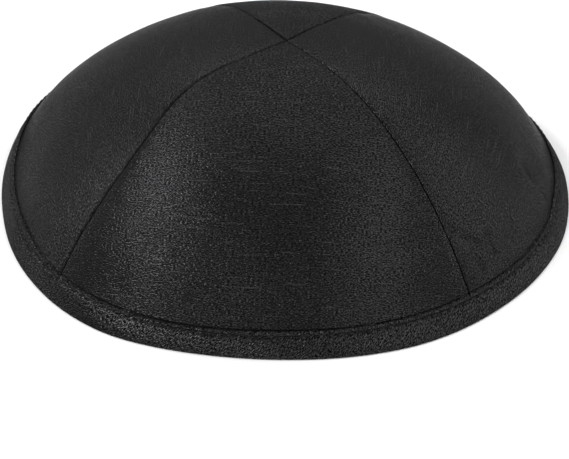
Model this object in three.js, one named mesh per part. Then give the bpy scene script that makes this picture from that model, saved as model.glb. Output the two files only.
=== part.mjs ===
import * as THREE from 'three';

// Skullcap of four cloth gores with a turned band round the rim and a four-gore lining.
// Millimetres, +Z up. The rim lies on Z = 0, the front gore faces -Y, and the origin is under the middle of the rim.

// Outer form: the line that a seam follows from the top of the crown to the rim
const crownHeight = 49.1;
const rimRadius = 85;
const apexReach = 16.6;
const rimReach = 64;
const rimSlope = THREE.MathUtils.degToRad(54.6);

// How far the crown's top stands to the right of the rim's axis
const apexShiftRight = 0.7;

// Cloth walls and the clearances between them
const panelThickness = 1.0;
const bandThickness = 1.0;
const liningThickness = 1.0;
const layerGap = 0.3;
const seamGap = 0.3;
const apexHole = 0.8;

// Rim band: width of its outer face, width of the hem inside, and the round of its folded upper edge
const bandWidth = 7.9;
const hemWidth = 8;
const foldRound = 0.35;

// Above the band the crown swells out again over this length, and the pressed seams sink in by this depth
const tuckLength = 14;
const seamDip = 0.45;
const seamDipWidth = 3.2;

// The deepest dent and the length that the places and sizes of the dents are shares of
const dentDepth = 1.3;
const dentField = 100;

// The layers end level at the rim, and turn square to the crown's face over this length above it
const edgeTurnLength = 25;

// Fineness of the mesh
const goreColumns = 20;
const crownRows = 12;
const bandStations = 104;
const edgeCrowding = 0.55;
const tuckRows = [1, 0.7, 0.45, 0.2];

// The four seams, from the front left one round by the front right: azimuth at the top and at the rim, and how
// far the seam bows in between, in degrees. Azimuth 0 is the front, -Y, and it grows towards the right, +X.
const seams = [
  { top: -52.8, rim: -45.2, bow: 3.5 },
  { top: 41.1, rim: 42.1, bow: 0.6 },
  { top: 139.7, rim: 136.3, bow: 0 },
  { top: 211.9, rim: 223.8, bow: 0 },
];

// The gores lie between one seam and the next
const gores = ['front', 'right', 'back', 'left'];

// Slow waves of the rim's outline about a circle, as shares of the rim's radius
const rimWaves = [
  { waves: 2, cosine: -0.001, sine: 0 },
  { waves: 3, cosine: 0.027, sine: -0.012 },
  { waves: 4, cosine: -0.022, sine: -0.003 },
  { waves: 5, cosine: -0.002, sine: 0.001 },
];

// How square a level section of the crown is: 1 has straight sides, 0 is round, below 0 bulges
const squareness = { atTop: 1, midway: -0.39 };

// Dents and low folds of the gores. across is measured from the gore's middle line towards the next seam and
// up from the rim, both with the half sizes as shares of dentField; depth is a share of dentDepth, below 0 a
// fold that stands out; lean turns the dent, in degrees.
const dents = [
  { gore: 'right', across: -0.10, up: 0.185, halfWidth: 0.10, halfLength: 0.12, depth: 1, lean: 12 },
  { gore: 'right', across: -0.22, up: 0.18, halfWidth: 0.045, halfLength: 0.13, depth: -0.35, lean: -14 },
  { gore: 'right', across: -0.55, up: 0.20, halfWidth: 0.04, halfLength: 0.13, depth: 0.3, lean: 28 },
  { gore: 'front', across: 0.36, up: 0.26, halfWidth: 0.22, halfLength: 0.04, depth: 0.25, lean: -14 },
];

const meridian = new THREE.CubicBezierCurve(
  new THREE.Vector2(0, crownHeight),
  new THREE.Vector2(apexReach, crownHeight),
  new THREE.Vector2(rimRadius - rimReach * Math.cos(rimSlope), rimReach * Math.sin(rimSlope)),
  new THREE.Vector2(rimRadius, 0),
);
meridian.arcLengthDivisions = 400;
const meridianLength = meridian.getLength();

// Place on the seam line, 0 at the top and 1 at the rim, for a length up from the rim
function placeAtRise(rise) {
  return meridian.getUtoTmapping(1 - rise / meridianLength);
}

// Azimuth of a seam in radians, where radiusShare is 0 at the top and 1 at the rim; the index may run on past a turn
function seamAzimuth(index, radiusShare) {
  const seam = seams[index % seams.length];
  const turns = Math.floor(index / seams.length);
  const straight = THREE.MathUtils.lerp(seam.top, seam.rim, radiusShare);
  const bowed = straight + seam.bow * 4 * radiusShare * (1 - radiusShare);
  return THREE.MathUtils.degToRad(bowed + 360 * turns);
}

function rimOutline(azimuth) {
  let factor = 1;
  for (const wave of rimWaves) {
    factor += wave.cosine * Math.cos(wave.waves * azimuth) + wave.sine * Math.sin(wave.waves * azimuth);
  }
  return factor;
}

// Distance from the axis across a gore, as a share of that at its seams
function sectionShape(share, place) {
  const square = squareness.atTop * (1 - place) + squareness.midway * 4 * place * (1 - place);
  const angle = (share - 0.5) * Math.PI / 2;
  return (1 + square * (1 / Math.cos(angle) - 1)) / (1 + square * (Math.SQRT2 - 1));
}

// Outer form of the cap about the axis of its rim. The whole part of quarter is the gore, the rest the share across it.
function formPoint(place, quarter) {
  const wrapped = THREE.MathUtils.euclideanModulo(quarter, gores.length);
  const gore = Math.floor(wrapped);
  const share = wrapped - gore;
  const level = meridian.getPoint(place);
  const radiusShare = level.x / rimRadius;
  const azimuth = THREE.MathUtils.lerp(
    seamAzimuth(gore, radiusShare), seamAzimuth(gore + 1, radiusShare), share);
  const outline = 1 + (rimOutline(azimuth) - 1) * radiusShare ** 2;
  const radius = level.x * sectionShape(share, place) * outline;
  return new THREE.Vector3(
    radius * Math.sin(azimuth) + apexShiftRight * (1 - radiusShare ** 2),
    -radius * Math.cos(azimuth),
    level.y);
}

// The origin lies under the middle of the rim's box
function rimMiddle() {
  const box = new THREE.Box3();
  const steps = 720;
  for (let step = 0; step < steps; step++) {
    box.expandByPoint(formPoint(1, step * gores.length / steps));
  }
  return box.getCenter(new THREE.Vector3());
}
const middle = rimMiddle();

// Unit normal of the outer form, facing in; across a seam it is the mean of both gores
function inwardNormal(place, quarter) {
  const placeStep = 0.004;
  const quarterStep = 0.02;
  const down = formPoint(Math.min(place + placeStep, 1), quarter).sub(formPoint(place - placeStep, quarter));
  const along = formPoint(place, quarter + quarterStep).sub(formPoint(place, quarter - quarterStep));
  return along.cross(down).normalize();
}

// Direction in which the layers of cloth lie under each other: level at the rim, so that all of them end flat,
// and square to the face higher up. A step along it goes one unit deeper, measured square to the face.
function layerDirection(place, quarter, rise) {
  const normal = inwardNormal(place, quarter);
  const level = new THREE.Vector3(normal.x, normal.y, 0).normalize();
  const turned = THREE.MathUtils.smoothstep(rise, 0, edgeTurnLength);
  const direction = level.lerp(normal, turned).normalize();
  return direction.divideScalar(direction.dot(normal));
}

// Point of the cap at a length up from the rim, a quarter round it, and a depth under the outer form
function capPoint(rise, quarter, depth) {
  const place = placeAtRise(rise);
  return formPoint(place, quarter)
    .addScaledVector(layerDirection(place, quarter, rise), depth)
    .sub(middle);
}

// Length across a gore from seam to seam
function goreWidth(gore, rise) {
  const radius = meridian.getPoint(placeAtRise(rise)).x;
  const radiusShare = radius / rimRadius;
  return radius * (seamAzimuth(gore + 1, radiusShare) - seamAzimuth(gore, radiusShare));
}

// 1 in the middle of a dent, 0 from its edge on
function dentShape(dent, across, up) {
  const lean = THREE.MathUtils.degToRad(dent.lean);
  const aside = across - dent.across * dentField;
  const above = up - dent.up * dentField;
  const wide = (aside * Math.cos(lean) + above * Math.sin(lean)) / (dent.halfWidth * dentField);
  const long = (above * Math.cos(lean) - aside * Math.sin(lean)) / (dent.halfLength * dentField);
  const distance = Math.min(Math.hypot(wide, long), 1);
  return (1 + Math.cos(Math.PI * distance)) / 2;
}

// Depth of a gore's outer face under the outer form: it starts under the band, swells out above it, and sinks
// in at the seams and the dents
function faceDepth(gore, share, rise) {
  const underBand = bandThickness + layerGap;
  let depth = underBand * (1 - THREE.MathUtils.smoothstep(rise, bandWidth, bandWidth + tuckLength));
  const width = goreWidth(gore, rise);
  const fromSeam = Math.min(share, 1 - share) * width;
  const aboveBand = THREE.MathUtils.smoothstep(rise, bandWidth, bandWidth + tuckLength);
  depth += seamDip * aboveBand * (1 - THREE.MathUtils.smoothstep(fromSeam, 0, seamDipWidth));
  for (const dent of dents) {
    if (dent.gore === gores[gore]) {
      depth += dentDepth * dent.depth * aboveBand * dentShape(dent, (share - 0.5) * width, rise);
    }
  }
  return depth;
}

// Shares across a gore, closer together near the seams
function columnShares(columns) {
  const shares = [];
  for (let column = 0; column <= columns; column++) {
    const even = column / columns;
    const crowded = (1 - Math.cos(Math.PI * even)) / 2;
    shares.push(THREE.MathUtils.lerp(even, crowded, edgeCrowding));
  }
  return shares;
}

// Lengths up from the rim at which a gore has a row of points, from its tip down: even over the crown, and
// closer together where the crown swells out above the band
function rowRises(lowest) {
  const highest = meridianLength - apexHole;
  const bend = bandWidth + tuckLength;
  const rises = [];
  for (let row = 0; row < crownRows; row++) {
    rises.push(THREE.MathUtils.lerp(highest, bend, row / crownRows));
  }
  for (const share of tuckRows) {
    rises.push(bandWidth + share * tuckLength);
  }
  const last = rises[rises.length - 1];
  rises.push(THREE.MathUtils.lerp(last, lowest, 0.5));
  rises.push(lowest);
  return rises;
}

// Rows of points over one gore, with an outer and an inner point each. The first row is the tip, and each row
// has two columns more than the one before until the gore has all of them.
function goreRows(gore, { lowest, layerDepth, thickness }) {
  return rowRises(lowest).map((rise, row) => {
    const count = Math.min(2 * row, goreColumns);
    const shares = count === 0 ? [0.5] : columnShares(count);
    const edge = seamGap / 2 / goreWidth(gore, rise);
    return shares.map((share) => {
      const across = edge + share * (1 - 2 * edge);
      const depth = faceDepth(gore, across, rise) + layerDepth;
      return {
        share,
        outer: capPoint(rise, gore + across, depth),
        inner: capPoint(rise, gore + across, depth + thickness),
      };
    });
  });
}

// Triangles between two rows of points that may differ in number, taken in the order of their shares
function joinRows(upper, lower, upperStart, lowerStart) {
  const triangles = [];
  let above = 0;
  let below = 0;
  while (above < upper.length - 1 || below < lower.length - 1) {
    const upperDone = above === upper.length - 1;
    const lowerDone = below === lower.length - 1;
    const stepBelow = !lowerDone && (upperDone || lower[below + 1].share <= upper[above + 1].share);
    if (stepBelow) {
      triangles.push([upperStart + above, lowerStart + below, lowerStart + below + 1]);
      below += 1;
    } else {
      triangles.push([upperStart + above, lowerStart + below, upperStart + above + 1]);
      above += 1;
    }
  }
  return triangles;
}

function meshGeometry(points, triangles) {
  const geometry = new THREE.BufferGeometry().setFromPoints(points);
  geometry.setIndex(triangles.flat());
  geometry.computeVertexNormals();
  return geometry;
}

// Closed wall of cloth from rows of points: its outer face, its inner face and the strip round its edge
function clothWall(rows) {
  const points = rows.flat();
  const count = points.length;
  const starts = rows.map((row, index) => rows.slice(0, index).flat().length);
  const face = [];
  for (let row = 1; row < rows.length; row++) {
    face.push(...joinRows(rows[row - 1], rows[row], starts[row - 1], starts[row]));
  }
  const last = rows.length - 1;
  const leftEdge = starts.slice(0, last);
  const lowerEdge = rows[last].map((point, index) => starts[last] + index);
  const rightEdge = rows.map((row, index) => starts[index] + row.length - 1).slice(1, last).reverse();
  const border = [...leftEdge, ...lowerEdge, ...rightEdge];
  const strip = border.flatMap((from, index) => {
    const to = border[(index + 1) % border.length];
    return [[to, from, from + count], [to, from + count, to + count]];
  });
  const innerFace = face.map(([a, b, c]) => [a + count, c + count, b + count]);
  const vertices = [...points.map((point) => point.outer), ...points.map((point) => point.inner)];
  return meshGeometry(vertices, [...face, ...innerFace, ...strip]);
}

// Depths and heights that the layers at the rim share
const panelDepth = bandThickness + layerGap;
const hemDepth = panelDepth + panelThickness + layerGap;
const bandFloor = bandThickness / Math.sin(rimSlope);
const liningDepth = panelThickness + layerGap;

function panelGeometry(gore) {
  return clothWall(goreRows(gore, {
    lowest: bandFloor + layerGap / Math.sin(rimSlope),
    layerDepth: 0,
    thickness: panelThickness,
  }));
}

function liningGeometry(gore) {
  return clothWall(goreRows(gore, {
    lowest: hemWidth + layerGap,
    layerDepth: liningDepth,
    thickness: liningThickness,
  }));
}

// Section of the band: up the outer face, round the folded edge, down to the floor that the gores stand on, up
// the hem and down its inner face. Each point is a length up from the rim and a depth.
function bandSection() {
  const hemInside = hemDepth + bandThickness;
  return [
    { rise: 0, depth: 0 },
    { rise: bandWidth / 2, depth: 0 },
    { rise: bandWidth - foldRound, depth: 0 },
    { rise: bandWidth, depth: foldRound },
    { rise: bandWidth, depth: bandThickness },
    { rise: bandWidth / 2, depth: bandThickness },
    { rise: bandFloor, depth: bandThickness },
    { rise: bandFloor, depth: hemDepth },
    { rise: hemWidth / 2, depth: hemDepth },
    { rise: hemWidth, depth: hemDepth },
    { rise: hemWidth, depth: hemInside },
    { rise: 0, depth: hemInside },
  ];
}

// The band's section carried once round the rim
function bandGeometry() {
  const section = bandSection();
  const points = [];
  const triangles = [];
  for (let station = 0; station < bandStations; station++) {
    const quarter = station * gores.length / bandStations;
    const next = (station + 1) % bandStations;
    section.forEach(({ rise, depth }, index) => {
      points.push(capPoint(rise, quarter, depth));
      const following = (index + 1) % section.length;
      const here = station * section.length;
      const there = next * section.length;
      triangles.push([here + index, there + index, there + following]);
      triangles.push([here + index, there + following, here + following]);
    });
  }
  return meshGeometry(points, triangles);
}

const blackCloth = { color: 0x1d1d1e, roughness: 0.5, metalness: 0 };
const paleLining = { color: 0xc9c8cb, roughness: 0.85, metalness: 0 };

function clothMesh(name, geometry, finish) {
  const mesh = new THREE.Mesh(geometry, new THREE.MeshStandardMaterial(finish));
  mesh.name = name;
  return mesh;
}

const skullcap = new THREE.Group();
gores.forEach((name, gore) => {
  skullcap.add(clothMesh(`panel_${name}`, panelGeometry(gore), blackCloth));
  skullcap.add(clothMesh(`lining_${name}`, liningGeometry(gore), paleLining));
});
skullcap.add(clothMesh('rim_band', bandGeometry(), blackCloth));

export default skullcap;
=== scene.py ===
# %% [markdown]
# A lined cloth skullcap, dressed for a photograph
#
# The cap is sewn from four gores of black slubbed cloth with a silky sheen, which meet in a point. A bias-cut
# band is turned round the rim and held by one row of topstitching, and a pale ribbed lining fills the inside.
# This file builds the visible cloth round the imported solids, cell by cell, and each cell says what it makes
# and why it is made so. Lengths are worked out in millimetres and become metres when a mesh is made.

import math

import bpy
import numpy as np
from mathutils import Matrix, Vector


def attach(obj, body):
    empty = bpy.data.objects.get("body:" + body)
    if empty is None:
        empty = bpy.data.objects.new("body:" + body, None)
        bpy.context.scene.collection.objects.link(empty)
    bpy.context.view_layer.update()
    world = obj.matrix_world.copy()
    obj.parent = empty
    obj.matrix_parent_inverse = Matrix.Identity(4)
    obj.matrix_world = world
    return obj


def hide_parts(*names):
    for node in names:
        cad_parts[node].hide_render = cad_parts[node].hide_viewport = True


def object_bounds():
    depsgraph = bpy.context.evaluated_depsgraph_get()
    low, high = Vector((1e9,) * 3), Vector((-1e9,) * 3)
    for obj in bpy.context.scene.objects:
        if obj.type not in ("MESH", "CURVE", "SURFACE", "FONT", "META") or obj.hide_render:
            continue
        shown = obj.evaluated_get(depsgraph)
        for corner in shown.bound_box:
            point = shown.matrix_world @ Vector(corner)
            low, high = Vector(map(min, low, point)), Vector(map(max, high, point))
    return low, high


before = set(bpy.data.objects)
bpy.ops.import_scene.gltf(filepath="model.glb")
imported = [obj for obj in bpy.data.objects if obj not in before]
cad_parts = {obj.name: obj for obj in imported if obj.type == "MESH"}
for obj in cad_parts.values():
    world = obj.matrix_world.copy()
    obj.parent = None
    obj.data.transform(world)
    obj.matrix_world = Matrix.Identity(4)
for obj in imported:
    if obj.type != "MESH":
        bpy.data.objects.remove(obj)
cad_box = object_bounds()
MM = 0.001
cad_size = [round((high - low) / MM, 1) for low, high in zip(*cad_box)]
print("solids:", sorted(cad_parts), "size in mm:", cad_size)

# %% [markdown]
# The rule behind the crown
#
# The crown could be sculpted, but a sewn cap follows a rule, and a rule gives smooth cloth at any fineness.
# One curve runs down a seam from the top to the rim. A level section is square at the top, where the seams
# pull, and round lower down. The rim's outline wanders a little about a circle. These numbers are those of
# the solids. SEAM_BENDS then bends each seam a few degrees to one side, and the tables RIM_WANDER and
# FOLD_WANDER further down let the rim and the band's fold leave the rule by up to about a millimetre.

# %% Sizes of the cap, in millimetres
CROWN_HEIGHT = 49.1
RIM_RADIUS = 85.0
APEX_REACH = 16.6
RIM_REACH = 64.0
RIM_SLOPE = math.radians(54.6)
APEX_SHIFT_RIGHT = 0.7
EDGE_TURN = 25.0
SQUARE_AT_TOP = 1.0
SQUARE_MIDWAY = -0.39
# Seams, from the front left one round by the front right: azimuth at the top, at the rim, and bow, in degrees
SEAMS = np.array([
    (-52.8, -45.2, 3.5),
    (41.1, 42.1, 0.6),
    (139.7, 136.3, 0.0),
    (211.9, 223.8, 0.0),
])
# How sewn seams leave those arcs: reach from the top, 0 to 1, and degrees
SEAM_BENDS = (
    np.array([
        (0.0, 4.9), (0.12, 4.6), (0.22, 0.6), (0.32, -3.7), (0.42, -3.8), (0.52, -2.3), (0.62, -0.5),
        (0.74, -0.6), (0.87, -0.6), (1.0, 0.6)]),
    np.array([(0.0, 0.0), (1.0, 0.0)]),
    np.array([
        (0.0, 1.3), (0.1, 1.3), (0.2, 1.8), (0.3, 4.2), (0.42, 6.6), (0.55, 6.0), (0.8, 2.5), (1.0, 0.0)]),
    np.array([
        (0.0, 4.5), (0.1, 2.7), (0.2, 0.4), (0.3, -2.7), (0.42, -5.3), (0.55, -5.0), (0.8, -2.0),
        (1.0, 0.0)]),
)
# Slow waves of the rim about a circle: how many, cosine and sine, as shares of the radius
RIM_WAVES = ((2, -0.001, 0.0), (3, 0.027, -0.012), (4, -0.022, -0.003), (5, -0.002, 0.001))
BEND_EASING = 0.05
GORES = ("front", "right", "back", "left")
seam_table = np.radians(np.vstack([SEAMS, SEAMS[:1] + (360.0, 360.0, 0.0)]))

# %% The line down a seam, measured along its length
handles = np.array([
    (0.0, CROWN_HEIGHT),
    (APEX_REACH, CROWN_HEIGHT),
    (RIM_RADIUS - RIM_REACH * math.cos(RIM_SLOPE), RIM_REACH * math.sin(RIM_SLOPE)),
    (RIM_RADIUS, 0.0),
])


def seam_line(place):
    """Distance from the axis and height, for a place from 0 at the top to 1 at the rim."""
    t = np.asarray(place, float)[..., None]
    weights = ((1 - t) ** 3, 3 * (1 - t) ** 2 * t, 3 * (1 - t) * t ** 2, t ** 3)
    return sum(weight * handle for weight, handle in zip(weights, handles))


line_places = np.linspace(0, 1, 4001)
line_steps = np.linalg.norm(np.diff(seam_line(line_places), axis=0), axis=1)
line_lengths = np.concatenate([[0.0], np.cumsum(line_steps)])
SEAM_LENGTH = line_lengths[-1]


def place_at(rise):
    """Place on the seam line for a length up from the rim."""
    return np.interp(SEAM_LENGTH - rise, line_lengths, line_places)


print("a seam is", round(SEAM_LENGTH, 1), "mm long")


# %% Any point of the crown
def smooth(value, low, high):
    """0 below low, 1 above high, and a soft step between."""
    share = np.clip((value - low) / (high - low), 0, 1)
    return share * share * (3 - 2 * share)


def seam_azimuth(index, reach):
    """Azimuth of a seam, where reach is 0 at the top and 1 at the rim."""
    top, rim, bow = (seam_table[index, column] for column in range(3))
    bend = 0.0
    asides = (-BEND_EASING, 0, BEND_EASING)
    for seam, table in enumerate(SEAM_BENDS):
        eased = sum(np.interp(reach + aside, table[:, 0], table[:, 1]) for aside in asides) / len(asides)
        bend = bend + (np.mod(index, len(SEAM_BENDS)) == seam) * eased
    return top * (1 - reach) + rim * reach + bow * 4 * reach * (1 - reach) + np.radians(bend)


def rim_outline(azimuth):
    """Size of the rim at an azimuth, as a share of the circle's radius."""
    waves = (c * np.cos(n * azimuth) + s * np.sin(n * azimuth) for n, c, s in RIM_WAVES)
    return 1 + sum(waves)


def form(place, quarter):
    """Point of the outer form. The whole part of quarter is the gore, the rest is the share across it."""
    place, quarter = np.broadcast_arrays(np.asarray(place, float), np.asarray(quarter, float))
    wrapped = np.mod(quarter, len(GORES))
    gore = np.minimum(wrapped.astype(int), len(GORES) - 1)
    share = wrapped - gore
    radius, height = np.moveaxis(seam_line(place), -1, 0)
    reach = radius / RIM_RADIUS
    azimuth = (1 - share) * seam_azimuth(gore, reach) + share * seam_azimuth(gore + 1, reach)
    square = SQUARE_AT_TOP * (1 - place) + SQUARE_MIDWAY * 4 * place * (1 - place)
    angle = (share - 0.5) * math.pi / 2
    section = (1 + square * (1 / np.cos(angle) - 1)) / (1 + square * (math.sqrt(2) - 1))
    out = radius * section * (1 + (rim_outline(azimuth) - 1) * reach ** 2)
    x = out * np.sin(azimuth) + APEX_SHIFT_RIGHT * (1 - reach ** 2)
    return np.stack([x, -out * np.cos(azimuth), height], -1)


rim_points = form(1.0, np.arange(720) / 180)
MIDDLE = (rim_points.min(0) + rim_points.max(0)) / 2
print("middle of the rule, moved to the origin:", MIDDLE.round(2))


# %% The layers under the form
def layer_direction(place, quarter, rise):
    """Way in which the layers lie under each other: level at the rim, square to the face higher up."""
    down = form(np.minimum(place + 0.004, 1), quarter) - form(place - 0.004, quarter)
    along = form(place, quarter + 0.02) - form(place, quarter - 0.02)
    normal = np.cross(along, down)
    normal /= np.linalg.norm(normal, axis=-1, keepdims=True)
    level = normal * (1, 1, 0)
    level /= np.linalg.norm(level, axis=-1, keepdims=True)
    turned = smooth(rise, 0, EDGE_TURN)[..., None]
    way = level * (1 - turned) + normal * turned
    return way / (way * normal).sum(-1, keepdims=True)


def cap_points(rise, quarter, depth):
    """Points of the cap: a length up from the rim, a quarter round it, and a depth under the outer form."""
    rise, quarter, depth = np.broadcast_arrays(*(np.asarray(v, float) for v in (rise, quarter, depth)))
    place = place_at(rise)
    way = layer_direction(place, quarter, rise)
    return form(place, quarter) + way * depth[..., None] - MIDDLE


def gore_width(gore, rise):
    """Length across a gore from seam to seam."""
    radius = seam_line(place_at(rise))[..., 0]
    reach = radius / RIM_RADIUS
    return radius * (seam_azimuth(gore + 1, reach) - seam_azimuth(gore, reach))


# %% Where soft cloth leaves the rule
# At the rim: azimuth in degrees, millimetres outward
RIM_WANDER = np.array([
    (-103, -0.5), (-84, 0.4), (-66, 0.4), (-50, 0.1), (-38, 0.5), (-28, 0.9), (-20, 0.3), (-10, 0.0),
    (3, 0.3), (14, 0.8), (27, 1.1), (36, 0.7), (46, 0.3), (58, 0.5), (75, 1.1), (93, 0.2), (110, -0.2),
    (140, 0.2), (165, -0.1), (200, 0.2), (230, -0.1),
])
# At the band's upper fold: azimuth in degrees, millimetres up from a level line
FOLD_WANDER = np.array([
    (-103, 0.0), (-95, 0.1), (-90, -0.5), (-84, -0.6), (-75, -0.45), (-68, 0.0), (-60, 0.1), (-55, -0.2),
    (-50, -0.9), (-44, -1.15), (-30, -1.1), (-20, -1.0), (-12, -0.7), (-5, -0.45), (3, -0.25), (10, -0.5),
    (20, -0.6), (32, -0.75), (45, -0.5), (55, -0.5), (65, -0.65), (75, -0.95), (80, -0.3), (85, 0.15),
    (95, -0.1), (105, -0.5), (140, -0.3), (170, 0.0), (200, -0.4), (230, -0.1),
])


def wander(table, quarter):
    """Value of a table of azimuths at this place round the rim, eased over a few degrees."""
    gore = np.mod(quarter, len(GORES)).astype(int)
    share = np.mod(quarter, 1)
    azimuth = np.degrees((1 - share) * seam_azimuth(gore, 1) + share * seam_azimuth(gore + 1, 1))
    nearby = (np.interp(azimuth + aside, table[:, 0], table[:, 1], period=360) for aside in (-3, 0, 3))
    return sum(nearby) / 3


def rim_lean(quarter, rise):
    """Depth that carries the soft rim outward; it fades to nothing at the band's upper edge."""
    return -wander(RIM_WANDER, quarter) * (1 - smooth(rise, 0.5, 7.5))


rule_rim = cap_points(0.0, np.arange(4000) / 1000, 0.0)
print("rim of the rule:", np.ptp(rule_rim, axis=0).round(1), "solids:", cad_size)

# %% [markdown]
# Folds, dents and the pull of the seams
#
# Real cloth is never as clean as the rule. It rolls in where two gores meet, puckers beside every row of
# stitches, drags in faint lines towards a tight seam, and dents where it has been packed. A cloth simulation
# would give folds of its own, at other places than the real ones, so each is written as a depth under the
# outer form: a positive depth sinks in, a negative one stands out. Soft waves are sums of a few sines with
# seeded directions, which is enough to break a highlight the way hand-sewn cloth does.

# %% Soft waves with a fixed seed
def soft_waves(seed, shortest, longest, count=14, lean=None):
    """Function of two lengths that gives slow random waves, about 1 high at most."""
    draw = np.random.default_rng(seed)
    lengths = np.exp(draw.uniform(math.log(shortest), math.log(longest), count))
    turns = draw.uniform(0, math.pi, count) if lean is None else draw.normal(lean, 0.18, count)
    phases = draw.uniform(0, 2 * math.pi, count)
    sizes = lengths / lengths.sum()

    def height(across, up):
        total = 0.0
        for length, turn, phase, size in zip(lengths, turns, phases, sizes):
            along = across * math.cos(turn) + up * math.sin(turn)
            total = total + size * np.sin(2 * math.pi * along / length + phase)
        return 1.6 * total

    return height


# %% Dents and folds, listed
BAND_WIDTH = 7.9
TUCK_LENGTH = 14.0
SEAM_DIP = 0.18
SEAM_DIP_WIDTH = 3.2
DENT_DEPTH = 1.3
DENT_FIELD = 100.0
# gore, across from its middle, up from the rim, half width, half length (shares of the dent field), depth
# (share of the dent depth, below 0 it stands out) and lean in degrees
DENTS = (
    ("right", -0.10, 0.185, 0.10, 0.12, 1.0, 8),
    ("right", 0.22, 0.32, 0.28, 0.24, -0.42, 0),
    ("right", -0.55, 0.20, 0.04, 0.13, 0.3, 28),
    ("front", 0.36, 0.26, 0.22, 0.04, 0.25, -14),
)
# Narrow drag lines, in the same columns with the depth in millimetres
DRAG_LINES = (
    ("front", 0.30, 0.37, 0.30, 0.012, 0.10, -9),
    ("front", 0.38, 0.30, 0.24, 0.014, 0.12, -13),
    ("front", 0.36, 0.22, 0.22, 0.012, 0.08, -16),
    ("front", -0.02, 0.42, 0.10, 0.008, 0.05, 0),
    ("right", -0.58, 0.14, 0.020, 0.08, 0.40, -24),
    ("right", -0.50, 0.17, 0.020, 0.09, 0.40, -30),
    ("right", -0.42, 0.15, 0.022, 0.08, 0.36, -36),
    ("right", -0.36, 0.21, 0.022, 0.09, 0.32, -34),
    ("right", -0.170, 0.150, 0.085, 0.14, -0.42, -4),
    ("right", -0.060, 0.15, 0.095, 0.13, 0.16, 8),
    ("left", 0.40, 0.16, 0.02, 0.10, 0.12, -36),
    ("left", 0.10, 0.30, 0.20, 0.03, 0.12, 8),
    ("back", -0.20, 0.24, 0.05, 0.16, 0.25, 20),
    ("back", 0.25, 0.16, 0.03, 0.12, 0.18, -18),
)


print(len(DENTS), "dents and", len(DRAG_LINES), "drag lines")


def hollows(table, gore, across, up, unit):
    """Depth of all the dents or lines of a table at these places; unit is what a depth of 1 means."""
    depth = 0.0
    for name, side, rise, half_width, half_length, deep, lean in table:
        if name != GORES[gore]:
            continue
        turn = math.radians(lean)
        aside = across - side * DENT_FIELD
        above = up - rise * DENT_FIELD
        wide = (aside * math.cos(turn) + above * math.sin(turn)) / (half_width * DENT_FIELD)
        long = (above * math.cos(turn) - aside * math.sin(turn)) / (half_length * DENT_FIELD)
        distance = np.minimum(np.hypot(wide, long), 1)
        depth = depth + unit * deep * (1 + np.cos(math.pi * distance)) / 2
    return depth


# %% Depth of a gore's face
UNDER_BAND = 0.6
# How deep the edges roll in at a seam and over what width, once sharply and once softly
ROLLS = ((0.72, 0.20), (0.05, 0.60))
EDGE_CREASE = 0.40
EDGE_CREASE_WIDTH = 0.22
# Heights of the waves and puckers, and how far from their seam they fade
SLOW_WAVES = 0.16
FINE_WAVES = 0.035
RIM_PUCKERS = 0.13
RIM_PUCKER_REACH = 5.5
SEAM_PUCKERS = 0.10
SEAM_PUCKER_REACH = 4.0
SEAM_BEADS = 0.08
SEAM_BEAD_PITCH = 2.4
SEAM_BEAD_REACH = 1.1
slow = [soft_waves(11 + gore, 22, 60) for gore in range(len(GORES))]
fine = [soft_waves(31 + gore, 7, 16) for gore in range(len(GORES))]
rim_pucker = [soft_waves(51 + gore, 3.4, 9, lean=0.0) for gore in range(len(GORES))]
seam_pucker = [soft_waves(71 + gore, 5, 11, lean=math.pi / 2) for gore in range(len(GORES))]


def crown_depth(gore, share, rise):
    """The large shapes: starts under the band, swells above it, sinks at the seams and the dents."""
    above = smooth(rise, BAND_WIDTH, BAND_WIDTH + TUCK_LENGTH)
    width = gore_width(gore, rise)
    from_seam = np.minimum(share, 1 - share) * width
    depth = UNDER_BAND * (1 - above) + SEAM_DIP * above * (1 - smooth(from_seam, 0, SEAM_DIP_WIDTH))
    depth = depth + rim_lean(gore + share, rise)
    return depth + above * hollows(DENTS, gore, (share - 0.5) * width, rise, DENT_DEPTH)


def face_depth(gore, share, rise):
    """The large shapes with the waves, drag lines and puckers of sewn cloth on them."""
    width = gore_width(gore, rise)
    across = (share - 0.5) * width
    from_seam = np.minimum(share, 1 - share) * width
    above = smooth(rise, BAND_WIDTH - 1, BAND_WIDTH + 5)
    free = smooth(from_seam, 0, 12) * above
    near_rim = above * np.exp(-(rise - BAND_WIDTH) / RIM_PUCKER_REACH)
    near_seam = above * np.exp(-from_seam / SEAM_PUCKER_REACH)
    at_seam = above * np.exp(-(from_seam / SEAM_BEAD_REACH) ** 2)
    depth = crown_depth(gore, share, rise)
    depth = depth + free * (SLOW_WAVES * slow[gore](across, rise) + FINE_WAVES * fine[gore](across, rise))
    depth = depth + above * hollows(DRAG_LINES, gore, across, rise, 1.0)
    depth = depth + RIM_PUCKERS * near_rim * rim_pucker[gore](across, rise)
    depth = depth + SEAM_PUCKERS * near_seam * seam_pucker[gore](across, rise)
    depth = depth + SEAM_BEADS * at_seam * np.cos(2 * math.pi * rise / SEAM_BEAD_PITCH)
    fold = BAND_WIDTH + wander(FOLD_WANDER, gore + share)
    depth = depth + EDGE_CREASE * np.exp(-((rise - fold) / EDGE_CREASE_WIDTH) ** 2)
    return depth + sum(deep * np.exp(-(from_seam / wide) ** 2) for deep, wide in ROLLS)


middle_depth = [round(float(face_depth(gore, np.array(0.5), 40.0)), 2) for gore in range(len(GORES))]
print("depths in the middle of the gores, 40 mm up:", middle_depth)


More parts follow.
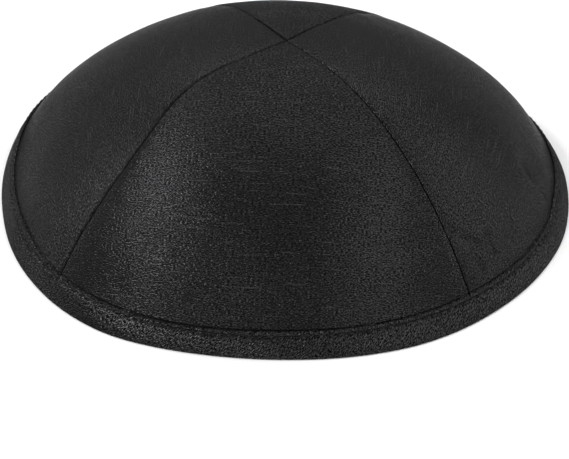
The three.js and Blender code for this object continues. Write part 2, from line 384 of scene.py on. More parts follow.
# %% [markdown]
# A wall of cloth from rows of points
#
# A gore is a wedge, so a plain grid would crowd all its columns into the tip. Here each row down from the tip
# has a few more points than the one above, which keeps the faces nearly even. The wall gets an outer face, an
# inner face and a strip round the edge, so that it is a closed body like real cloth with a cut edge. Every
# point also carries its place in the flat piece of cloth, which becomes the UV map that the weave follows. To
# flatten a wedge of a dome, each level line is bent back to the arc that it had in the pattern.

# %% Helpers for rows of points
def column_shares(columns, crowding):
    """Shares across a gore, closer together near the seams."""
    even = np.arange(columns + 1) / columns
    return even * (1 - crowding) + crowding * (1 - np.cos(math.pi * even)) / 2


def join_rows(upper, lower, upper_start, lower_start):
    """Triangles between two rows that may differ in number, taken in the order of their shares."""
    faces = []
    above = below = 0
    while above < len(upper) - 1 or below < len(lower) - 1:
        upper_done = above == len(upper) - 1
        lower_done = below == len(lower) - 1
        if not lower_done and (upper_done or lower[below + 1] <= upper[above + 1]):
            faces.append((upper_start + above, lower_start + below, lower_start + below + 1))
            below += 1
        else:
            faces.append((upper_start + above, lower_start + below, upper_start + above + 1))
            above += 1
    return faces


def flat_pattern(across, rise):
    """Place in the flat piece of cloth, whose weft threads run straight across."""
    place = place_at(rise)
    radius = np.maximum(seam_line(place)[..., 0], 0.5)
    step = seam_line(place_at(rise + 0.5))[..., 0] - seam_line(place_at(rise - 0.5))[..., 0]
    slant = radius / np.maximum(-step, 0.05)
    angle = across / slant
    return np.stack([slant * np.sin(angle), rise + slant * (1 - np.cos(angle))], -1)


# %% Turn points and faces into a Blender object
def new_object(name, points, faces, cloth=None, corners=None, sharp=60):
    """Mesh object from points in millimetres; cloth holds each point's flat place, corners each corner's."""
    mesh = bpy.data.meshes.new(name)
    mesh.from_pydata((np.asarray(points) * MM).tolist(), [], np.asarray(faces).tolist())
    if cloth is not None and corners is None:
        vertex = np.empty(len(mesh.loops), int)
        mesh.loops.foreach_get("vertex_index", vertex)
        corners = cloth[vertex]
    if corners is not None:
        layer = mesh.uv_layers.new(name="Cloth")
        layer.data.foreach_set("uv", np.asarray(corners, np.float32).ravel())
    mesh.shade_smooth()
    mesh.set_sharp_from_angle(angle=math.radians(sharp))
    mesh.validate()
    piece = bpy.data.objects.new(name, mesh)
    bpy.context.scene.collection.objects.link(piece)
    print(name, len(mesh.polygons), "faces")
    return piece


def cloth_wall(name, rows):
    """Closed wall from rows of (shares, outer points, inner points, flat places), from the tip down."""
    starts = np.concatenate([[0], np.cumsum([len(row[0]) for row in rows])]).astype(int)
    count = starts[-1]
    face = []
    for row in range(1, len(rows)):
        face += join_rows(rows[row - 1][0], rows[row][0], starts[row - 1], starts[row])
    last = len(rows) - 1
    left = list(starts[:last])
    lower = list(range(starts[last], count))
    right = [starts[row] - 1 for row in range(last, 1, -1)]
    border = np.array(left + lower + right)
    after = np.roll(border, -1)
    strip = np.vstack([
        np.stack([after, border, border + count], 1),
        np.stack([after, border + count, after + count], 1),
    ])
    face = np.array(face)
    faces = np.vstack([face, face[:, ::-1] + count, strip])
    points = np.vstack([row[1] for row in rows] + [row[2] for row in rows])
    places = np.vstack([row[3] for row in rows])
    return new_object(name, points, faces, cloth=np.vstack([places, places]))


# %% [markdown]
# The four gores of the crown
#
# Each gore stands for one solid of the crown. Its face follows the depths above and its edges roll in by
# three quarters of a millimetre, so that two gores meet in the fine dark line of a seam that has been pressed
# open. The points lie about 0.7 mm apart and closer at the seams, which is fine enough to hold the puckers as
# real shape and not only as a bump.

# %% Build the gores
GORE_COLUMNS = 170
GORE_STEP = 0.72
CROWDING = 0.55
GORE_LOWEST = 1.8
GORE_THICKNESS = 1.0
SEAM_SLIT = 0.09
APEX_SLIT = 0.3


def row_heights(step, lowest):
    """Heights of the rows: even on the crown, closer at the crease above the band, a few under the band."""
    crown = np.arange(SEAM_LENGTH - APEX_SLIT, BAND_WIDTH + 1.2, -step)
    crease = np.linspace(BAND_WIDTH + 0.9, BAND_WIDTH - 1.6, 17)
    hidden = np.linspace(BAND_WIDTH - 2.4, lowest, 4)
    return np.concatenate([crown, crease, hidden])


def gore_rows(gore, columns, heights, depth_of, under, thickness):
    """Rows for cloth_wall; under is how far the layer lies below the depth that depth_of gives."""
    made = []
    for row, rise in enumerate(heights):
        count = min(2 * row, columns)
        shares = column_shares(count, CROWDING) if count else np.array([0.5])
        width = gore_width(gore, rise)
        edge = SEAM_SLIT / 2 / width
        share = edge + shares * (1 - 2 * edge)
        depth = depth_of(gore, share, rise) + under
        outer = cap_points(rise, gore + share, depth)
        inner = cap_points(rise, gore + share, depth + thickness)
        places = flat_pattern((share - 0.5) * width, np.full(len(share), rise))
        made.append((shares, outer, inner, places))
    return made


gores = {}
gore_heights = row_heights(GORE_STEP, GORE_LOWEST)
for index, gore_name in enumerate(GORES):
    rows = gore_rows(index, GORE_COLUMNS, gore_heights, face_depth, 0.0, GORE_THICKNESS)
    gores[gore_name] = cloth_wall(f"gore_{gore_name}", rows)

# %% [markdown]
# The lining
#
# Inside, a pale stiff lining is cut to the same four gores. It only shows from below, so it follows the large
# shapes alone, one layer further in, and its seams are the same pressed kind. Its lower edge runs down behind
# the hem of the band, which holds it.

# %% Build the lining
LINING_COLUMNS = 84
LINING_STEP = 1.4
LINING_UNDER = GORE_THICKNESS + 0.12
LINING_THICKNESS = 1.0
LINING_LOWEST = 2.4
LINING_WAVES = 0.10
LINING_CREASE = 0.18
LINING_CREASE_WIDTH = 0.9


def lining_depth(gore, share, rise):
    """The large shapes with slow waves, and a crease into the wall along each seam."""
    width = gore_width(gore, rise)
    from_seam = np.minimum(share, 1 - share) * width
    waves = LINING_WAVES * slow[gore]((share - 0.5) * width, rise)
    crease = LINING_CREASE * np.exp(-(from_seam / LINING_CREASE_WIDTH) ** 2)
    return crown_depth(gore, share, rise) + waves - crease


linings = {}
lining_heights = row_heights(LINING_STEP, LINING_LOWEST)
for index, gore_name in enumerate(GORES):
    rows = gore_rows(index, LINING_COLUMNS, lining_heights, lining_depth, LINING_UNDER, LINING_THICKNESS)
    linings[gore_name] = cloth_wall(f"lining_gore_{gore_name}", rows)

# %% [markdown]
# The rim band
#
# The band is a strip cut on the bias, at 45 degrees to its threads, so that it bends round the rim. Its upper
# edge is a fold, it turns under at the rim and ends inside as a hem. The section is drawn once as a closed
# loop of lengths up from the rim and depths, with half-round noses at both edges and a rounded turn below.
# Then it is carried round the rim. On the way the stitches pull a shallow groove into it, the fold puffs up
# between them, and slight slanting ripples run across it, as they do in any bias band.

# %% Section of the band
LEAF = 0.55
HEM_DEPTH = UNDER_BAND + LINING_UNDER + LINING_THICKNESS + 0.08
HEM_LEAF = 0.6
HEM_INSIDE = HEM_DEPTH + HEM_LEAF
HEM_WIDTH = 8.0
TURN_HEIGHT = 0.6
STITCH_RISE = BAND_WIDTH - 1.85
GROOVE_START = STITCH_RISE - 0.9
FLOOR_RISE = 1.5


def nose(edge, start, thickness, points):
    """Half-round end of a folded leaf, from one depth to the other."""
    angle = np.linspace(0, math.pi, points)
    rise = edge - thickness / 2 + thickness / 2 * np.sin(angle)
    depth = start + thickness / 2 * (1 - np.cos(angle))
    return np.stack([rise, depth], -1)


def straight(rise_from, rise_to, depth, points):
    """Points at one depth, without the two ends."""
    rise = np.linspace(rise_from, rise_to, points + 2)[1:-1]
    return np.stack([rise, np.full(points, depth)], -1)


def band_section():
    """Closed loop of (rise, depth), outer face first, and the length along it at each point."""
    angle = np.linspace(0, math.pi, 15)
    turn_depth = HEM_INSIDE / 2 * (1 + np.cos(angle))
    turn_rise = TURN_HEIGHT * (1 - np.sqrt(np.sin(angle).clip(0)))
    parts = [
        straight(TURN_HEIGHT, GROOVE_START, 0.0, 12),
        straight(GROOVE_START, BAND_WIDTH - LEAF / 2, 0.0, 19),
        nose(BAND_WIDTH, 0.0, LEAF, 9),
        straight(BAND_WIDTH - LEAF / 2, FLOOR_RISE, LEAF, 5),
        np.array([(FLOOR_RISE, LEAF), (FLOOR_RISE, HEM_DEPTH)]),
        straight(FLOOR_RISE, HEM_WIDTH - HEM_LEAF / 2, HEM_DEPTH, 5),
        nose(HEM_WIDTH, HEM_DEPTH, HEM_LEAF, 7),
        straight(HEM_WIDTH - HEM_LEAF / 2, TURN_HEIGHT, HEM_INSIDE, 16),
        np.stack([turn_rise, turn_depth], -1),
    ]
    section = np.vstack(parts)
    steps = np.linalg.norm(np.diff(section, axis=0), axis=1)
    return section, np.concatenate([[0.0], np.cumsum(steps)])


# %% Stitch spacing round the rim
STITCH_PITCH = 2.7
rim_quarters = np.linspace(0, len(GORES), 2001)
stitch_line = cap_points(STITCH_RISE, rim_quarters, 0.0)
stitch_steps = np.linalg.norm(np.diff(stitch_line, axis=0), axis=1)
stitch_run = np.concatenate([[0.0], np.cumsum(stitch_steps)])
STITCHES = round(stitch_run[-1] / STITCH_PITCH)
print(STITCHES, "stitches along", round(stitch_run[-1], 1), "mm")

# %% Pull and ripple the section
GROOVE_WIDTH = 0.34
# Depths in the band and how much the stitches' beat adds: the groove outside, the groove inside, the lip
GROOVE, GROOVE_BEAT = 0.28, 0.16
HEM_GROOVE, HEM_GROOVE_BEAT = 0.16, 0.06
LIP, LIP_BEAT = 0.12, 0.13
# Heights of the fold's scallops and waves, of the slanting ripples and the slow waves, and the band's puff
SCALLOPS = 0.16
FOLD_WAVES = 0.10
BIAS_RIPPLES = 0.14
BAND_WAVES = 0.06
BAND_PUFF = 0.12
band_waves = soft_waves(91, 9, 26, lean=0.0)
fold_waves = soft_waves(92, 5, 14, lean=0.0)
bias_ripples = soft_waves(93, 4.5, 9, count=18, lean=math.radians(-38))


def band_shape(section, quarter):
    """Rise and depth of the band's section at one station, pulled by the stitches and rippled."""
    run = np.interp(quarter, rim_quarters, stitch_run)
    beat = math.cos(2 * math.pi * run * STITCHES / stitch_run[-1])
    rise, depth = section[:, 0].copy(), section[:, 1].copy()
    outside = 1 - smooth(depth, 0, LEAF)
    inside = smooth(depth, HEM_DEPTH, HEM_INSIDE)
    near = np.exp(-((rise - STITCH_RISE) / GROOVE_WIDTH) ** 2)
    depth += outside * near * (GROOVE + GROOVE_BEAT * beat)
    depth -= inside * near * (HEM_GROOVE + HEM_GROOVE_BEAT * beat)
    lip = smooth(rise, STITCH_RISE + 0.2, BAND_WIDTH - 0.3) * (depth < LEAF * 1.5)
    rise += lip * (wander(FOLD_WANDER, quarter) - SCALLOPS * beat + FOLD_WAVES * fold_waves(run, 0.0))
    depth -= lip * outside * (LIP - LIP_BEAT * beat)
    middle = outside * smooth(rise, TURN_HEIGHT, 2.6) * (1 - smooth(rise, 4.6, STITCH_RISE - 0.2))
    ripples = BIAS_RIPPLES * bias_ripples(run, rise) + BAND_WAVES * band_waves(run, rise)
    depth += middle * (ripples - BAND_PUFF)
    depth += rim_lean(quarter, rise)
    return rise, depth, run


# %% Carry it round the rim
BAND_STATIONS = 960
section, section_run = band_section()
stations = []
flat_places = []
for station in range(BAND_STATIONS + 1):
    quarter = station * len(GORES) / BAND_STATIONS
    rise, depth, run = band_shape(section, quarter)
    stations.append(cap_points(rise, quarter, depth))
    flat_places.append(np.stack([np.full(len(section), run), section_run], -1))
per_station = len(section)
ring = np.arange(BAND_STATIONS)[:, None]
spot = np.arange(per_station)[None]
spot_after = (spot + 1) % per_station
ring_after = (ring + 1) % BAND_STATIONS
band_faces = np.stack([
    ring * per_station + spot,
    ring_after * per_station + spot,
    ring_after * per_station + spot_after,
    ring * per_station + spot_after,
], -1).reshape(-1, 4)

# %% The band's flat places, turned to the bias
flat_places = np.array(flat_places)
loop_end = section_run[-1] + np.linalg.norm(section[-1] - section[0])
closed_places = np.concatenate([flat_places, flat_places[:, :1] * (1, 0) + (0, loop_end)], 1)
band_corners = np.stack([
    closed_places[:-1, :-1], closed_places[1:, :-1], closed_places[1:, 1:], closed_places[:-1, 1:],
], 2).reshape(-1, 2)
bias = np.array([(1, 1), (-1, 1)]) / math.sqrt(2)
band_points = np.vstack(stations[:-1])
band = new_object("rim_band_cloth", band_points, band_faces, corners=band_corners @ bias.T)

# %% [markdown]
# The topstitching, by Geometry Nodes
#
# One row of short stitches holds the band. Placing each by hand would be slow, and an array could not follow
# the rim, so a small node tree does it: it measures the path, works out how many stitches fit, sets a point
# for each, and puts a thin spindle of thread there, turned along the row and out of the cloth, with a little
# seeded variation. The same tree makes the outer row and the one that shows on the hem inside.

# %% The stitch tree
def connect(tree, node, inputs):
    """Give each named input of a node a socket to link or a value to hold."""
    for key, value in inputs.items():
        if isinstance(value, bpy.types.NodeSocket):
            tree.links.new(value, node.inputs[key])
        else:
            node.inputs[key].default_value = value


def add(tree, kind, inputs=None, **settings):
    """New node of a tree, with its settings and inputs."""
    node = tree.nodes.new(kind)
    for key, value in settings.items():
        setattr(node, key, value)
    connect(tree, node, inputs or {})
    return node


def stitch_tree():
    """Node tree that sets a spindle of thread at even steps along a path."""
    tree = bpy.data.node_groups.new("row_of_stitches", "GeometryNodeTree")
    face = tree.interface
    face.new_socket("Path", in_out="INPUT", socket_type="NodeSocketGeometry")
    for name, value in (("Pitch", STITCH_PITCH * MM), ("Length", 1.8 * MM), ("Thickness", 0.36 * MM)):
        face.new_socket(name, in_out="INPUT", socket_type="NodeSocketFloat").default_value = value
    face.new_socket("Seed", in_out="INPUT", socket_type="NodeSocketInt").default_value = 7
    face.new_socket("Thread", in_out="INPUT", socket_type="NodeSocketMaterial")
    face.new_socket("Stitches", in_out="OUTPUT", socket_type="NodeSocketGeometry")
    given = add(tree, "NodeGroupInput").outputs
    curve = add(tree, "GeometryNodeMeshToCurve", {"Mesh": given["Path"]}).outputs["Curve"]
    length = add(tree, "GeometryNodeCurveLength", {"Curve": curve}).outputs["Length"]
    fit_in = add(tree, "ShaderNodeMath", {0: length, 1: given["Pitch"]}, operation="DIVIDE")
    whole = add(tree, "ShaderNodeMath", {0: fit_in.outputs[0]}, operation="ROUND")
    points = add(tree, "GeometryNodeCurveToPoints", {"Curve": curve, "Count": whole.outputs[0]}, mode="COUNT")
    outward = add(tree, "GeometryNodeInputNamedAttribute", {"Name": "outward"}, data_type="FLOAT_VECTOR")
    along = add(tree, "FunctionNodeAlignRotationToVector", {"Vector": points.outputs["Tangent"]}, axis="X")
    upright = add(
        tree, "FunctionNodeAlignRotationToVector",
        {"Rotation": along.outputs["Rotation"], "Vector": outward.outputs["Attribute"]},
        axis="Z", pivot_axis="X")
    spindle = add(tree, "GeometryNodeMeshUVSphere", {"Segments": 8, "Rings": 6, "Radius": 0.5})
    thick = given["Thickness"]
    size = add(tree, "ShaderNodeCombineXYZ", {"X": given["Length"], "Y": thick, "Z": thick})
    vary = add(
        tree, "FunctionNodeRandomValue",
        {"Min": (0.88, 0.9, 0.9), "Max": (1.06, 1.1, 1.1), "Seed": given["Seed"]}, data_type="FLOAT_VECTOR")
    scaled = add(tree, "ShaderNodeVectorMath", {0: size.outputs[0], 1: vary.outputs[0]}, operation="MULTIPLY")
    place = add(tree, "GeometryNodeInstanceOnPoints", {
        "Points": points.outputs["Points"], "Instance": spindle.outputs["Mesh"],
        "Rotation": upright.outputs["Rotation"], "Scale": scaled.outputs[0]})
    real = add(tree, "GeometryNodeRealizeInstances", {"Geometry": place.outputs["Instances"]})
    rounded = add(tree, "GeometryNodeSetShadeSmooth", {"Geometry": real.outputs["Geometry"]})
    dyed = add(tree, "GeometryNodeSetMaterial", {"Geometry": rounded.outputs[0], "Material": given["Thread"]})
    add(tree, "NodeGroupOutput", {"Stitches": dyed.outputs["Geometry"]})
    return tree


# %% One row of stitches
def row_of_stitches(name, tree, depth, outward, thread, **sizes):
    """Plain mesh of stitches along the rim at this depth; outward is 1 on the outer face, -1 inside."""
    quarters = np.arange(1200) / 300
    path = cap_points(STITCH_RISE, quarters, depth + rim_lean(quarters, STITCH_RISE))
    place = place_at(np.full(len(quarters), STITCH_RISE))
    normals = -outward * layer_direction(place, quarters, np.full(len(quarters), 2 * EDGE_TURN))
    mesh = bpy.data.meshes.new(name + "_path")
    edges = [(i, (i + 1) % len(path)) for i in range(len(path))]
    mesh.from_pydata((path * MM).tolist(), edges, [])
    held = mesh.attributes.new("outward", "FLOAT_VECTOR", "POINT")
    held.data.foreach_set("vector", np.asarray(normals, np.float32).ravel())
    carrier = bpy.data.objects.new(name + "_carrier", mesh)
    bpy.context.scene.collection.objects.link(carrier)
    modifier = carrier.modifiers.new("Stitches", "NODES")
    modifier.node_group = tree
    sockets = {s.name: s.identifier for s in tree.interface.items_tree if s.in_out == "INPUT"}
    modifier[sockets["Thread"]] = thread
    for key, value in sizes.items():
        modifier[sockets[key]] = value
    evaluated = carrier.evaluated_get(bpy.context.evaluated_depsgraph_get())
    made = bpy.data.meshes.new_from_object(evaluated)
    made.name = name
    bpy.data.objects.remove(carrier)
    piece = bpy.data.objects.new(name, made)
    bpy.context.scene.collection.objects.link(piece)
    print(name, len(made.polygons), "faces")
    return piece


# %% [markdown]
# Cloth in a shader
#
# The weave is finer than a pixel of most pictures, so it is not modelled thread by thread. One node group
# makes it for all three cloths from the flat places in the UV map: weft threads that run across and swell
# into slubs, a short grain where the warp crosses them, and ribs. Each cloth gives the group its own thread
# sizes. The group puts out a height for the Bump node, a tone for the colour and a gloss for the roughness,
# and the shader itself stays in the material.

# %% Small helpers for shader trees
FLOAT = "NodeSocketFloat"
VECTOR = "NodeSocketVector"


def shader_group(name, inputs, outputs):
    """New shader node group and the sockets of its inputs; inputs are (name, kind, first value)."""
    group = bpy.data.node_groups.new(name, "ShaderNodeTree")
    for socket, kind, value in inputs:
        made = group.interface.new_socket(socket, in_out="INPUT", socket_type=kind)
        if value is not None:
            made.default_value = value
    for socket in outputs:
        group.interface.new_socket(socket, in_out="OUTPUT", socket_type=FLOAT)
    return group, add(group, "NodeGroupInput").outputs


def sums(tree, operation, *values):
    """One Math node; a value is a number or a socket."""
    return add(tree, "ShaderNodeMath", dict(enumerate(values)), operation=operation).outputs[0]


def noise_at(tree, vector, detail):
    """Noise, about 0.5 on average; the vector already carries the size of the pattern."""
    settings = {"Vector": vector, "Scale": 1.0, "Detail": detail, "Roughness": 0.5}
    return add(tree, "ShaderNodeTexNoise", settings, noise_dimensions="3D").outputs["Fac"]


def stretch(tree, parts, x, y, offset=0.0):
    """Vector of two lengths, each divided by the size that the pattern has that way."""
    across = sums(tree, "DIVIDE", parts.outputs["X"], x)
    along = sums(tree, "DIVIDE", parts.outputs["Y"], y)
    return add(tree, "ShaderNodeCombineXYZ", {"X": across, "Y": along, "Z": offset}).outputs[0]


# %% The weave
def weave_group():
    """Height in millimetres, tone and gloss of slubbed cloth; sizes are in millimetres too."""
    group, given = shader_group(
        "slubbed_weave",
        [
            ("Cloth", VECTOR, None), ("Weft", FLOAT, 0.42), ("Warp", FLOAT, 0.30),
            ("Slubs", FLOAT, 1.0), ("Ribs", FLOAT, 0.3), ("Grain", FLOAT, 1.0),
        ],
        ["Height", "Tone", "Gloss"])
    parts = add(group, "ShaderNodeSeparateXYZ", {0: given["Cloth"]})
    weft, warp, slubs, ribs, grains = (given[name] for name in ("Weft", "Warp", "Slubs", "Ribs", "Grain"))
    # Long streaks, one thread high, and a short grain where the warp crosses
    streak_long = sums(group, "MULTIPLY", weft, 12.0)
    streak = noise_at(group, stretch(group, parts, streak_long, weft), 1.0)
    grain_long = sums(group, "MULTIPLY", warp, 1.9)
    grain_high = sums(group, "MULTIPLY", warp, 0.85)
    grain = noise_at(group, stretch(group, parts, grain_long, grain_high, 6.0), 0.0)
    grained = sums(group, "MULTIPLY", sums(group, "SUBTRACT", grain, 0.5), grains)
    # Slubs where a row of noise rises past a limit, which makes them rare and separate
    slub_high = sums(group, "MULTIPLY", weft, 1.3)
    slub_row = noise_at(group, stretch(group, parts, 13.0, slub_high, 9.0), 1.0)
    slub = sums(group, "SMOOTH_MAX", sums(group, "SUBTRACT", slub_row, 0.66), 0.0, 0.04)
    slub = sums(group, "MULTIPLY", sums(group, "MULTIPLY", slub, 5.0), slubs)
    # Ribs, one to a thread, that drift a little so that they are not ruled lines
    drift = noise_at(group, stretch(group, parts, 9.0, 3.0, 4.0), 1.0)
    bent = sums(group, "MULTIPLY_ADD", drift, 1.1, parts.outputs["Y"])
    turns = sums(group, "MULTIPLY", sums(group, "DIVIDE", bent, weft), 2 * math.pi)
    rib = sums(group, "MULTIPLY", sums(group, "SINE", turns), ribs)
    # Relief in millimetres
    height = sums(group, "MULTIPLY_ADD", rib, 0.03, sums(group, "MULTIPLY", streak, 0.06))
    height = sums(group, "MULTIPLY_ADD", grained, 0.12, height)
    height = sums(group, "MULTIPLY_ADD", slub, 0.08, height)
    # Tone and gloss: the grain counts most, a streak less
    tone = sums(group, "MULTIPLY_ADD", grained, 1.7, sums(group, "MULTIPLY_ADD", streak, 0.5, 0.45))
    tone = sums(group, "MULTIPLY_ADD", rib, 0.12, tone)
    tone = sums(group, "ADD", slub, tone)
    gloss = sums(group, "MULTIPLY_ADD", grained, 2.5, sums(group, "MULTIPLY_ADD", streak, 0.65, 0.18))
    add(group, "NodeGroupOutput", {"Height": height, "Tone": tone, "Gloss": gloss})
    return group


# %% Handling
def handling_group():
    """Slow patches of handling and lint, read from Object coordinates so that they cross the seams."""
    group, given = shader_group(
        "handling", [("Place", VECTOR, None), ("Patch size", FLOAT, 0.03)], ["Patch", "Lint"])
    sizes = {0: given["Place"], 1: given["Patch size"]}
    scaled = add(group, "ShaderNodeVectorMath", sizes, operation="DIVIDE")
    patch = noise_at(group, scaled.outputs[0], 2.0)
    specks = add(group, "ShaderNodeTexVoronoi", {"Vector": scaled.outputs[0], "Scale": 9.0}, feature="F1")
    lint = sums(group, "SUBTRACT", 1.0, sums(group, "MULTIPLY", specks.outputs["Distance"], 14.0))
    lint = sums(group, "MAXIMUM", lint, 0.0)
    add(group, "NodeGroupOutput", {"Patch": patch, "Lint": lint})
    return group


weave = weave_group()
handling = handling_group()
print("groups:", [(group.name, len(group.nodes)) for group in (weave, handling)])


# %% The cloth material
GLARE_FROM = 0.64
GLARE_TO = 0.92
GLARE_GAIN = 1.5


def cloth_material(name, dark, light, rough, shine, mirror, lustre, edge, sheen, anisotropic, **threads_of):
    """Woven cloth. dark and light are the threads' colours, rough and shine the roughness between them.

    lustre is how much the threads mirror in their own dark colour. It rises at a grazing angle, between
    GLARE_FROM and GLARE_TO of Layer Weight, which keeps the skyline of black cloth from glaring.
    """
    material = bpy.data.materials.new(name)
    material.use_nodes = True
    tree = material.node_tree
    slant = add(tree, "ShaderNodeLayerWeight")
    glare = add(tree, "ShaderNodeMapRange", {
        "Value": slant.outputs["Facing"], "From Min": GLARE_FROM, "From Max": GLARE_TO,
        "To Min": lustre, "To Max": min(1.0, lustre * GLARE_GAIN)}, interpolation_type="SMOOTHSTEP")
    uv = add(tree, "ShaderNodeUVMap", uv_map="Cloth")
    place = add(tree, "ShaderNodeTexCoord")
    threads = add(tree, "ShaderNodeGroup", {"Cloth": uv.outputs["UV"], **threads_of}, node_tree=weave)
    handled = add(tree, "ShaderNodeGroup", {"Place": place.outputs["Object"]}, node_tree=handling)
    tone = sums(tree, "MULTIPLY_ADD", handled.outputs["Patch"], 0.3, threads.outputs["Tone"])
    tone = sums(tree, "ADD", handled.outputs["Lint"], tone)
    shift = add(
        tree, "ShaderNodeMapRange", {"Value": tone, "From Min": 0.4, "From Max": 1.5},
        interpolation_type="SMOOTHSTEP")
    colour = add(tree, "ShaderNodeMix", {
        "Factor": shift.outputs["Result"], "A": (*dark, 1.0), "B": (*light, 1.0)}, data_type="RGBA")
    gloss = add(tree, "ShaderNodeMapRange", {
        "Value": threads.outputs["Gloss"], "From Min": 0.2, "From Max": 0.8,
        "To Min": rough, "To Max": shine})
    relief = add(tree, "ShaderNodeBump", {"Height": threads.outputs["Height"], "Distance": MM})
    tangent = add(tree, "ShaderNodeTangent", direction_type="UV_MAP", uv_map="Cloth")
    connect(tree, tree.nodes["Principled BSDF"], {
        "Base Color": colour.outputs["Result"], "Roughness": gloss.outputs["Result"],
        "Metallic": glare.outputs["Result"], "Normal": relief.outputs["Normal"],
        "Tangent": tangent.outputs["Tangent"], "Anisotropic": anisotropic, "Anisotropic Rotation": 0.25,
        "Specular IOR Level": mirror, "Specular Tint": (edge, edge, edge, 1.0),
        "Sheen Weight": sheen[0], "Sheen Roughness": sheen[1], "Sheen Tint": (*sheen[2], 1.0)})
    return material


# %% The three cloths
black_yarn = dict(
    mirror=0.13, lustre=0.6, edge=0.15, sheen=(0.0, 0.35, (0.62, 0.63, 0.66)), Weft=0.42, Warp=0.34)
black_silk = cloth_material(
    "black_slubbed_silk", dark=(0.0045, 0.0045, 0.0047), light=(0.0345, 0.0345, 0.036), rough=0.53,
    shine=0.19, anisotropic=0.8, Slubs=1.7, Ribs=0.25, Grain=1.15, **black_yarn)
# The band is the crown's cloth, but its light threads are paler: painted light that brightens the band, whose
# lower part faces down. Its darker dark threads give the bias weave more contrast.
black_bias_painted_lighter = cloth_material(
    "black_slubbed_silk_bias", dark=(0.0012, 0.0012, 0.0013), light=(0.0455, 0.0455, 0.047), rough=0.52,
    shine=0.26, anisotropic=0.4, Slubs=0.5, Ribs=0.5, Grain=1.15, **black_yarn)
pale_lining = cloth_material(
    "pale_ribbed_lining", dark=(0.40, 0.39, 0.41), light=(0.66, 0.65, 0.67), rough=0.75, shine=0.6,
    mirror=0.4, lustre=0.0, edge=1.0, sheen=(0.2, 0.5, (1.0, 1.0, 1.0)), anisotropic=0.2,
    Weft=0.7, Warp=0.35, Slubs=0.0, Ribs=2.0, Grain=0.5)


# %% The thread
def thread_material(name, colour):
    """Twisted thread whose tone and gloss vary over about a millimetre."""
    material = bpy.data.materials.new(name)
    material.use_nodes = True
    tree = material.node_tree
    place = add(tree, "ShaderNodeTexCoord")
    handled = add(
        tree, "ShaderNodeGroup", {"Place": place.outputs["Object"], "Patch size": 0.0012}, node_tree=handling)
    patch = handled.outputs["Patch"]
    darker = (*(value * 0.6 for value in colour), 1.0)
    lighter = (*(value * 1.4 for value in colour), 1.0)
    tint = add(tree, "ShaderNodeMix", {"Factor": patch, "A": darker, "B": lighter}, data_type="RGBA")
    relief = add(tree, "ShaderNodeBump", {"Height": patch, "Distance": 0.1 * MM})
    connect(tree, tree.nodes["Principled BSDF"], {
        "Base Color": tint.outputs["Result"], "Roughness": sums(tree, "MULTIPLY_ADD", patch, 0.3, 0.3),
        "Normal": relief.outputs["Normal"], "Specular IOR Level": 0.2})
    return material


black_thread = thread_material("black_thread", (0.006, 0.006, 0.0065))

# %% Dye the cloths
for piece in gores.values():
    piece.data.materials.append(black_silk)
for piece in linings.values():
    piece.data.materials.append(pale_lining)
band.data.materials.append(black_bias_painted_lighter)

# %% Sew the two rows
OUTER_SUNK = 0.22
HEM_SUNK = 0.10
stitches = stitch_tree()
outer_stitches = row_of_stitches(
    "topstitching", stitches, OUTER_SUNK, 1, black_thread, Seed=7, Length=1.5 * MM, Thickness=0.3 * MM)
inner_stitches = row_of_stitches(
    "hem_stitching", stitches, HEM_INSIDE - HEM_SUNK, -1, black_thread, Seed=19)

# %% [markdown]
# Each piece takes its place
#
# Every piece rides on the one body of the cap, and where it stands for a solid, the plain solid is hidden.

# %% Ride and replace
for gore_name in GORES:
    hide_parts(f"panel_{gore_name}")
    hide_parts(f"lining_{gore_name}")
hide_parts("rim_band")
for piece in (*gores.values(), *linings.values(), band, outer_stitches, inner_stitches):
    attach(piece, "root")

# %% [markdown]
# Table, light and camera
#
# The picture to match is a product photograph: a pale surround with no hard shadow, a bright strip of light
# from the left, softer lights from the right, two large ones behind that lighten the top, and little from the
# front, which leaves the middle of the cap dark. The cloth's threads run across, so they smear each light
# into a streak that runs down the gore. All lights are aimed at the middle of the cap.

# %% Floor
floor_mesh = bpy.data.meshes.new("floor")
floor_mesh.from_pydata([(-4, -4, 0), (4, -4, 0), (4, 4, 0), (-4, 4, 0)], [], [(0, 1, 2, 3)])
floor = bpy.data.objects.new("floor", floor_mesh)
bpy.context.scene.collection.objects.link(floor)
floor_material = bpy.data.materials.new("pale_floor")
floor_material.use_nodes = True
floor_shader = floor_material.node_tree.nodes["Principled BSDF"]
floor_shader.inputs["Base Color"].default_value = (0.75, 0.75, 0.75, 1)
floor_shader.inputs["Roughness"].default_value = 0.9
floor.data.materials.append(floor_material)


# %% Lights
LIGHT_TARGET = Vector((0, 0, 0.02))
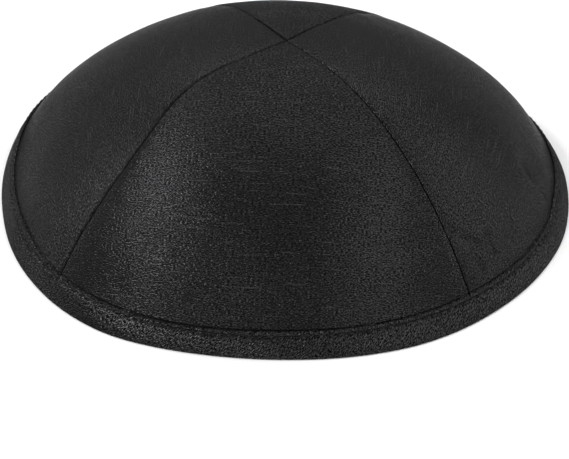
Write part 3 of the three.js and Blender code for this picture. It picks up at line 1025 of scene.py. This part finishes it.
# name, place, width, height (metres) and power (watts)
LIGHTS = (
    ("left_strip", (-0.84, -0.26, 0.99), 1.20, 0.18, 12.8),
    ("left_low", (-1.20, 0.50, 0.28), 0.8, 0.35, 3.3),
    ("right_back", (0.86, 0.0, 0.98), 0.9, 0.62, 3.0),
    ("right_front", (0.95, -0.88, 0.88), 0.9, 0.62, 6.2),
    ("right_low", (1.15, 0.30, 0.30), 0.9, 0.4, 4.2),
    ("front_low", (-0.20, -1.15, 0.60), 0.6, 0.2, 3.2),
    ("back_high", (0.0, 0.95, 1.45), 2.2, 0.8, 17.5),
    ("back_low", (0.0, 1.35, 0.75), 2.2, 0.8, 5.4),
)
for name, place, width, height, power in LIGHTS:
    light = bpy.data.lights.new(name, "AREA")
    light.shape = "RECTANGLE"
    light.size = width
    light.size_y = height
    light.energy = power
    box = bpy.data.objects.new(name, light)
    box.location = place
    box.rotation_euler = (LIGHT_TARGET - Vector(place)).to_track_quat("-Z", "Y").to_euler()
    bpy.context.scene.collection.objects.link(box)
print(len(LIGHTS), "lights,", round(sum(row[-1] for row in LIGHTS), 1), "W in all")

# %% Surround
world = bpy.data.worlds.new("studio")
world.use_nodes = True
surround = world.node_tree.nodes["Background"]
surround.inputs["Color"].default_value = (1, 1, 1, 1)
surround.inputs["Strength"].default_value = 0.215
bpy.context.scene.world = world
bpy.context.scene.view_settings.view_transform = "Standard"

# %% Camera
CAMERA_PLACE = Vector(np.array([16.996, -512.528, 320.13]) * MM)
CAMERA_TARGET = Vector(np.array([0.536, 2.202, -14.79]) * MM)
CAMERA_ROLL = math.radians(1.4435)
CAMERA_LENS = 130.2
camera_data = bpy.data.cameras.new("camera")
camera_data.lens = CAMERA_LENS
camera_data.sensor_fit = "HORIZONTAL"
camera_data.sensor_width = 36.0
camera_data.clip_start = 0.01
camera = bpy.data.objects.new("camera", camera_data)
camera.location = CAMERA_PLACE
aim = (CAMERA_TARGET - CAMERA_PLACE).to_track_quat("-Z", "Y").to_matrix()
camera.rotation_euler = (aim @ aim.Rotation(CAMERA_ROLL, 3, "Z")).to_euler()
bpy.context.scene.collection.objects.link(camera)
bpy.context.scene.camera = camera
print("camera at", [round(value, 3) for value in camera.location], "lens", CAMERA_LENS)
